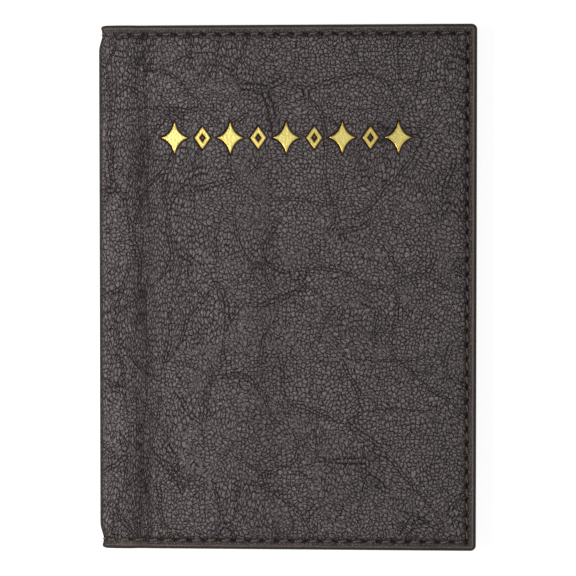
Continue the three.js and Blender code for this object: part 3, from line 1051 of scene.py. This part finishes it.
TAPE_LOOK = cloth_look("tape_cloth", (0.3, 0.28, 0.24, 1), (0.5, 0.47, 0.42, 1))
CARD = card_look()

OUTER_LAYER = FOLD_RADIUS - LEATHER / 2
INNER_LAYER = FOLD_RADIUS - SPINE_LINING_DEPTH - LINING / 2


def across_fold(piece, side, slot, radius, *nodes):
    """Works out the span of the fold between the spine and that cover at that radius, bakes the
    piece's place into its mesh and hides those CAD nodes.
    """
    top = THICKNESS - FOLD_RADIUS
    beyond = 0.22 * radius
    start = (FOLD_U - radius - beyond, 0, top - beyond)
    end = (FOLD_U + beyond, 0, top + radius + beyond)
    if side == "back":
        start, end = ((x, y, THICKNESS - z) for x, y, z in (start, end))
    start, end = (tuple(c * MM for c in point) for point in (start, end))
    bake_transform(piece)
    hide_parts(*nodes)


def on_cover(piece, side, slot, *nodes):
    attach(piece, f"{side}_cover")
    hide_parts(*nodes)


def lining_depth(u, v):
    """Depth of the lining's outer face: over the board, down to the leather, and in the spine."""
    distance = edge_distance(u, v)
    over = ramp(distance, BOARD_INSET - 0.5, BOARD_INSET + 0.3)
    over = over * ramp(u, POCKET_EDGE_U - 0.9, POCKET_EDGE_U - 0.1)
    on_leather = LINING_LOW.z
    by_spine = SPINE_LINING_DEPTH - on_leather
    top = LINING_HIGH.z - LINING - on_leather
    return on_leather + by_spine * (1 - ramp(u, FOLD_U, FOLD_U + 3)) + top * over


POCKET_RISE_START = 3.0
POCKET_RISE_END = 5.6


def pocket_depth(u, v, side):
    """Depth of the pocket panel's visible face, raised off the lining inside its seam."""
    seed = 41 if side == "front" else 51
    distance = edge_distance(u, v)
    risen = ramp(distance, POCKET_RISE_START, POCKET_RISE_END)
    depth = HEM_TOP + (POCKET_HIGH.z - HEM_TOP - 0.06) * risen
    depth -= 0.12 * bell(distance, SEAM_INSET, 0.7)
    holes, dimples = slits(u, v)
    depth -= 0.22 * holes + 0.08 * dimples
    depth -= 0.14 * bell(u, HEM_U, 0.55) * risen
    depth -= 0.1 * risen * (1 + layered_noise(u, v, 24, seed)) / 2
    depth -= 0.1 * (1 - ramp(u, POCKET_EDGE_U, POCKET_EDGE_U + 0.5))
    return depth


def pocket_marks(u, v):
    """Painted shade on the pocket panel: in the needle holes, along both rows and in its fold."""
    distance = edge_distance(u, v)
    painted_shade = np.maximum(0.9 * slits(u, v)[0], 0.5 * bell(distance, SEAM_INSET, 0.8))
    painted_shade = np.maximum(painted_shade, 0.5 * bell(distance, (POCKET_RISE_START + POCKET_RISE_END) / 2, 0.7))
    return np.maximum(painted_shade, 0.5 * bell(u, HEM_U, 0.5))


def inner_floor(u, v, side):
    """Depth of the face that the seam shows on inside: the lining, then the pocket panel."""
    return np.where(u < POCKET_EDGE_U, lining_depth(u, v) + LINING, pocket_depth(u, v, side))


def pocket_bead(side, material):
    """Paint along the pocket panel's free edge, a thin rounded bead."""
    reach = HALF_HEIGHT - RIM_WIDTH - 0.1
    vs = lines(-reach, reach, 0.8, 5.5, True, True, 0.4)
    steps = 9
    u = np.full(vs.shape, POCKET_EDGE_U)
    high = pocket_depth(u, vs, side) + 0.02
    low = high - POCKET - 0.03
    rings = []
    for a in np.linspace(0, math.pi, steps):
        out = 0.24 * math.sin(a) - 0.06
        rings.append((u - out, vs, high + (low - high) * (1 - math.cos(a)) / 2))
    flat = np.transpose(np.array(rings), (2, 0, 1)).reshape(-1, 3)
    faces = tube_faces(len(vs), steps)
    places = wrap(*flat.T, side)
    return make_piece(f"{side}_pocket_bead", places, faces, material, {"sheet": flat}, close=True)


SEAM_THREAD_RADIUS = 0.3
INNER_THREAD_RADIUS = 0.26
HEM_THREAD_RADIUS = 0.2
SEAM_DIP = 0.42
INNER_DIP = 0.25


def build_side(side):
    reach = HALF_HEIGHT - LAYERS_INSET
    right = HALF_WIDTH - LAYERS_INSET
    across_fold(
        outer_leather(side, LEATHER_LOOK), side, "outer_leather", OUTER_LAYER,
        f"{side}_outer_leather", "spine_outer_leather",
    )
    across_fold(
        edge_band(side, PAINT), side, "edge_paint", OUTER_LAYER,
        f"{side}_edge_paint", "spine_top_edge_paint", "spine_bottom_edge_paint",
    )

    outer = stitch_mesh(
        f"{side}_seam_stitches", side, seam_holes(), partial(soft_sink, side=side),
        SEAM_THREAD_RADIUS, SLIT_SLANT, SEAM_DIP,
    )
    across_fold(
        outer, side, "thread", OUTER_LAYER,
        f"{side}_outer_seam_thread", "spine_top_outer_thread", "spine_bottom_outer_thread",
    )

    cloth = slab(
        f"{side}_lining_cloth",
        lines(MIDDLE_U, right, 0.8),
        lines(-reach, reach, 1.0, 6.0, True, True, 0.4),
        lining_depth,
        lambda u, v: lining_depth(u, v) + LINING,
        side,
        CLOTH,
    )
    across_fold(cloth, side, "lining", INNER_LAYER, f"{side}_lining", "spine_lining")

    pocket_face = partial(pocket_depth, side=side)
    pocket = slab(
        f"{side}_pocket",
        lines(POCKET_EDGE_U, right, 0.75, 5.5, True, True, 0.28),
        lines(-reach, reach, 0.75, 5.5, True, True, 0.28),
        lambda u, v: pocket_face(u, v) - POCKET,
        pocket_face,
        side,
        POCKET_LOOK,
        pocket_marks,
    )
    on_cover(pocket, side, "pocket_leather", f"{side}_pocket_panel")
    on_cover(pocket_bead(side, PAINT), side, "edge_paint", f"{side}_pocket_edge_paint")
    hem = stitch_mesh(
        f"{side}_hem_stitches", side, hem_holes(), pocket_face,
        HEM_THREAD_RADIUS, SLIT_SLANT, INNER_DIP, -1,
    )
    on_cover(hem, side, "thread", f"{side}_pocket_hem_thread")

    inner = stitch_mesh(
        f"{side}_inner_stitches", side, seam_holes(), partial(inner_floor, side=side),
        INNER_THREAD_RADIUS, -SLIT_SLANT, INNER_DIP, -1,
    )
    across_fold(
        inner, side, "thread", INNER_LAYER,
        f"{side}_inner_seam_thread", "spine_top_inner_thread", "spine_bottom_inner_thread",
    )
    tape = slab(
        f"{side}_spine_tape",
        lines(MIDDLE_U, TAPE_END_U, 0.8),
        lines(-TAPE_REACH, TAPE_REACH, 4.0),
        lambda u, v: TAPE_DEPTH + 0 * u,
        lambda u, v: TAPE_DEPTH + TAPE + 0 * u,
        side,
        TAPE_LOOK,
    )
    across_fold(tape, side, "tape", INNER_LAYER, "spine_reinforcing_tape")
    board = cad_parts[f"{side}_stiffening_board"]
    board.data.materials.clear()
    board.data.materials.append(CARD)


for cover_side in SIDES:
    build_side(cover_side)

for foil_name, foil_centre, foil_outline, foil_hole in MOTIFS:
    leaf = foil_piece(foil_name, foil_centre, foil_outline, foil_hole, FOIL)
    on_cover(leaf, "front", "foil", foil_name)


# ---- floor, light and camera
def stage_floor():
    look = Look("floor")
    look.finish(Base_Color=(0.3, 0.3, 0.3, 1), Roughness=0.9, Emission_Color=(1, 1, 1, 1),
                Emission_Strength=0.84)
    bpy.ops.mesh.primitive_plane_add(size=6, location=(0, 0, 0))
    floor = bpy.context.object
    floor.name = "floor"
    floor.data.materials.append(look.material)


def area_light(name, place, size, power):
    data = bpy.data.lights.new(name, "AREA")
    data.shape = "DISK"
    data.size = size
    data.energy = power
    light = bpy.data.objects.new(name, data)
    light.location = place
    light.rotation_euler = (-Vector(place)).to_track_quat("-Z", "Y").to_euler()
    light.visible_camera = False
    bpy.context.scene.collection.objects.link(light)


def camera(distance, lean_right, lean_up, view_width, centre):
    """Looks down on the front cover from a little to the right of it and above its top."""
    data = bpy.data.cameras.new("camera")
    data.sensor_width = 36
    data.lens = data.sensor_width * distance / view_width
    data.dof.use_dof = False
    eye = bpy.data.objects.new("camera", data)
    away = Vector((math.sin(lean_right), math.sin(lean_up), 1)).normalized()
    target = Vector(centre)
    eye.location = target + away * distance
    forward = -away
    right = forward.cross(Vector((0, 1, 0))).normalized()
    up = right.cross(forward)
    eye.rotation_euler = Matrix((forward.cross(up), up, away)).transposed().to_euler()
    bpy.context.scene.collection.objects.link(eye)
    bpy.context.scene.camera = eye


stage_floor()
world = bpy.context.scene.world or bpy.data.worlds.new("world")
bpy.context.scene.world = world
world.use_nodes = True
sky = world.node_tree.nodes["Background"].inputs
sky["Color"].default_value = (1, 1, 1, 1)
sky["Strength"].default_value = 0.32
area_light("key", (-0.21, 0.0, 0.25), 0.18, 1.34)
area_light("fill", (0.6, -0.3, 0.9), 0.8, 3)
bpy.context.scene.view_settings.view_transform = "Standard"
camera(
    distance=0.5,
    lean_right=math.radians(2.8),
    lean_up=math.radians(1.6),
    view_width=0.1532,
    centre=(0.00046, 0.00005, THICKNESS * MM),
)
